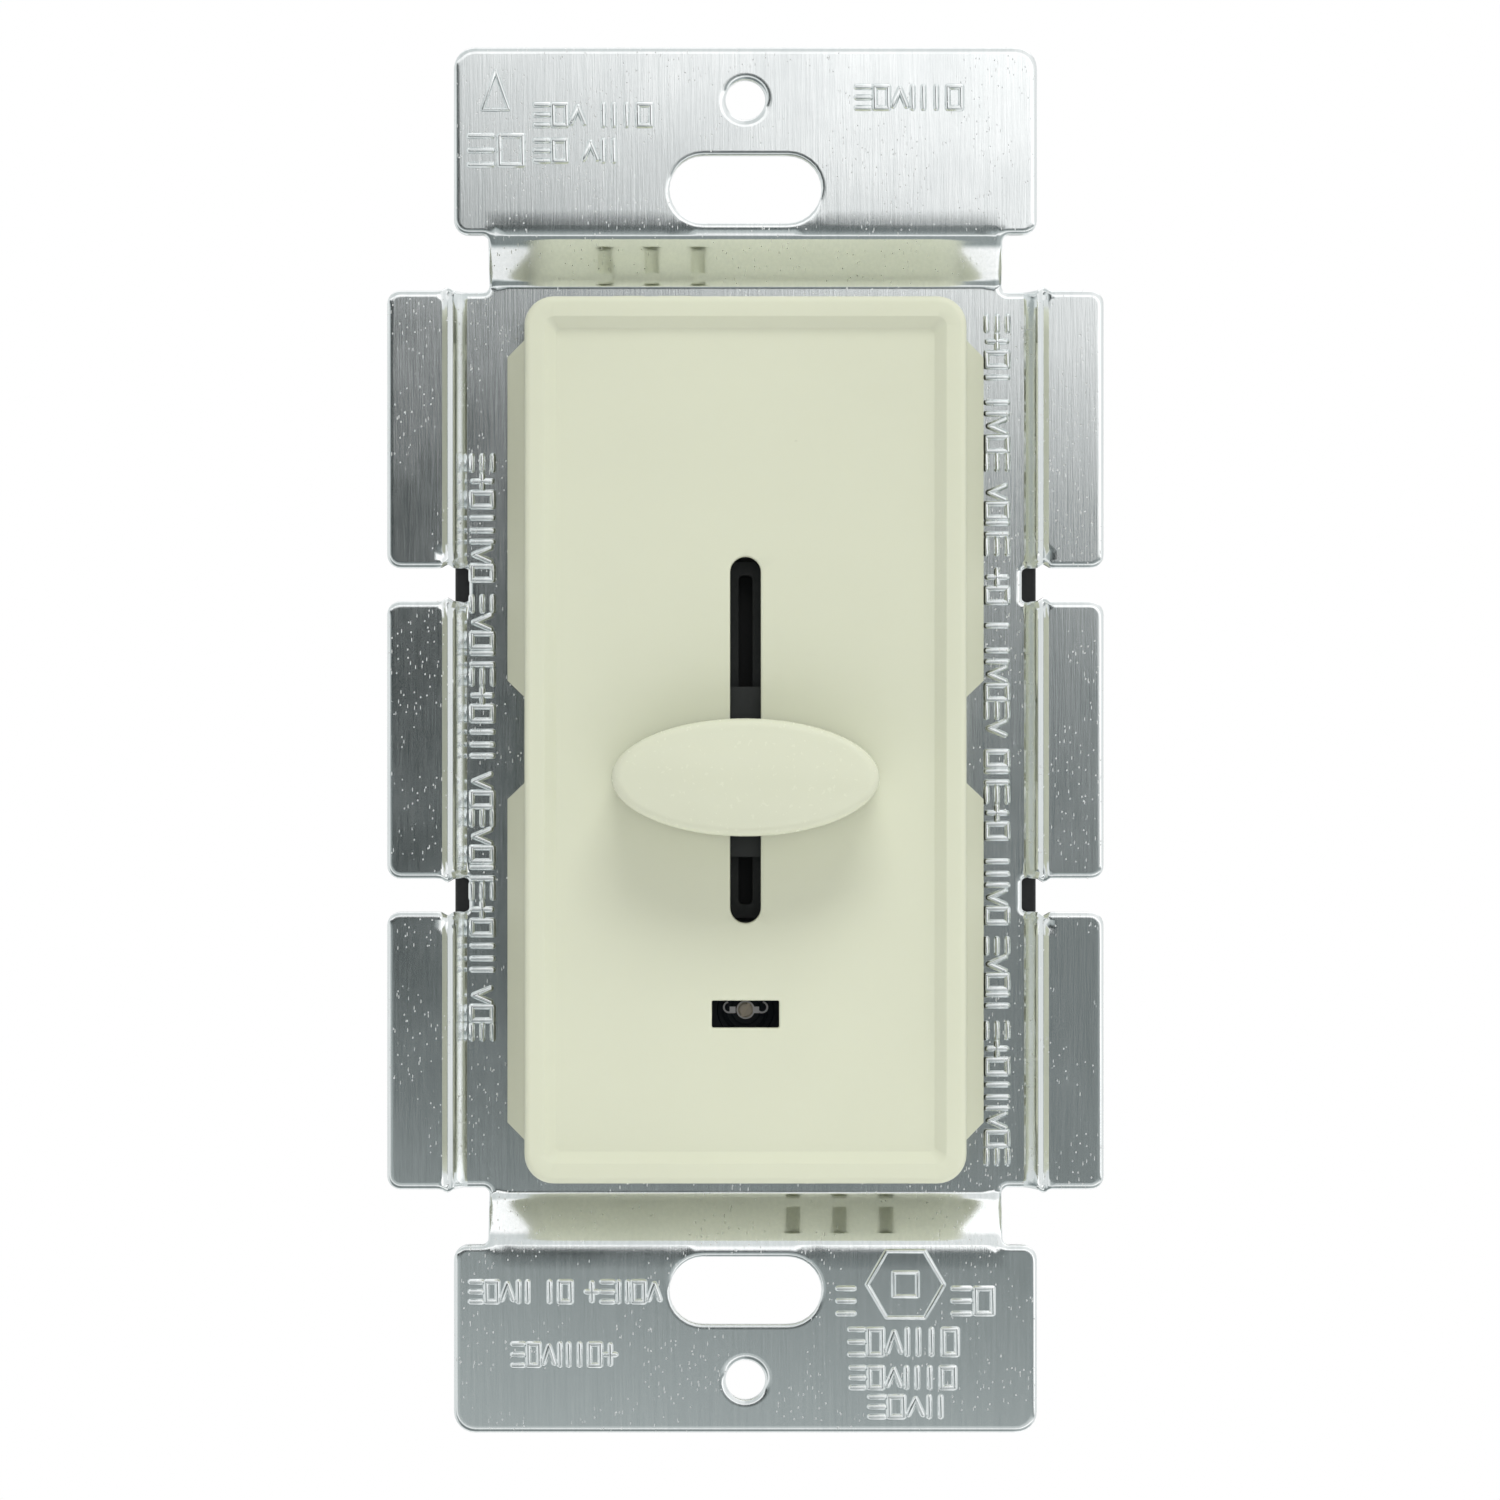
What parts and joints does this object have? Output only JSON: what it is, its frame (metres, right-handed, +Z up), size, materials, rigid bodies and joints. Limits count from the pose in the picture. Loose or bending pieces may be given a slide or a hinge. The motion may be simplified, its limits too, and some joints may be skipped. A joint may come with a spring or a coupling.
{
  "type": "dimmer slide switch",
  "caption": "Wall-box slide dimmer: bent aluminium strap with break-off fins, ivory face with a slotted panel and oval knob, black rear housing.",
  "frame": {"origin": "middle of the strap on the wall plane, which is the back of the two ears", "axes": "+X to the right as seen from the room, +Y into the wall, +Z up"},
  "size_m": [0.0542, 0.0433, 0.1048],
  "materials": {
    "strap_aluminium": "vertical brushed mill finish with small nicks",
    "face_ivory": "satin moulded ivory",
    "knob_ivory": "glossier moulded ivory",
    "carriage_black": "black moulded, faint step",
    "guide_black": "black moulded",
    "housing_black": "black moulded, fine texture",
    "screw_steel": "zinc-plated",
    "fish_paper": "fibre sheet",
    "board_laminate": "phenolic paper laminate",
    "pot_steel": "tinned sheet steel",
    "pot_phenolic": "phenolic strip with carbon tracks",
    "pot_slider": "natural nylon",
    "spring_bronze": "phosphor bronze strip",
    "triac_black": "transfer-moulded epoxy",
    "tinned_metal": "tinned",
    "rivet_aluminium": "plain",
    "choke_ferrite": "painted powdered-iron ring",
    "choke_copper": "enamelled copper wire",
    "film_yellow": "moulded box",
    "timing_red": "dipped epoxy",
    "diac_glass": "glass bead body",
    "resistor_tan": "lacquered with colour bands",
    "trimmer_black": "moulded",
    "trimmer_post": "dull plated post",
    "trimmer_silver": "bright plated",
    "switch_black": "moulded",
    "plunger_white": "acetal"
  },
  "bodies": {
    "chassis": {"mounting_strap": "strap_aluminium", "face_frame": "face_ivory", "slider_guide": "guide_black", "rear_housing": "housing_black", "housing_screw_1": "screw_steel", "housing_screw_2": "screw_steel", "housing_screw_3": "screw_steel", "housing_screw_4": "screw_steel", "insulating_sheet": "fish_paper", "circuit_board": "board_laminate", "pot_shell": "pot_steel", "pot_track": "pot_phenolic", "triac_tab": "tinned_metal", "triac_body": "triac_black", "triac_leg_1": "tinned_metal", "triac_leg_2": "tinned_metal", "triac_leg_3": "tinned_metal", "triac_rivet": "rivet_aluminium", "choke_core": "choke_ferrite", "choke_winding": "choke_copper", "suppression_capacitor": "film_yellow", "timing_capacitor": "timing_red", "diac": "diac_glass", "resistor_1": "resistor_tan", "resistor_2": "resistor_tan", "trimmer_base": "trimmer_black", "switch_case": "switch_black", "switch_blade": "spring_bronze", "switch_terminal_1": "tinned_metal", "switch_terminal_2": "tinned_metal", "switch_terminal_3": "tinned_metal"},
    "slider": {"slide_knob": "knob_ivory", "slider_carriage": "carriage_black", "pot_carriage": "pot_slider", "pot_wiper": "spring_bronze"},
    "trim_rotor": {"trimmer_rotor": "trimmer_post", "trimmer_wiper": "trimmer_silver"},
    "off_plunger": {"switch_plunger": "plunger_white"}
  },
  "joints": [
    {"name": "knob_slide", "type": "slide", "parent": "chassis", "child": "slider", "axis": [0, 0, 1], "range_m": [-0.0072, 0.0128]},
    {"name": "trim_turn", "type": "hinge", "parent": "chassis", "child": "trim_rotor", "pos_m": [0, 0, -0.0206], "axis": [0, 1, 0], "range_deg": [-105, 105]},
    {"name": "plunger_press", "type": "slide", "parent": "chassis", "child": "off_plunger", "axis": [-1, 0, 0], "range_m": [0, 0.0006], "stiffness_N_per_m": 300}
  ]
}
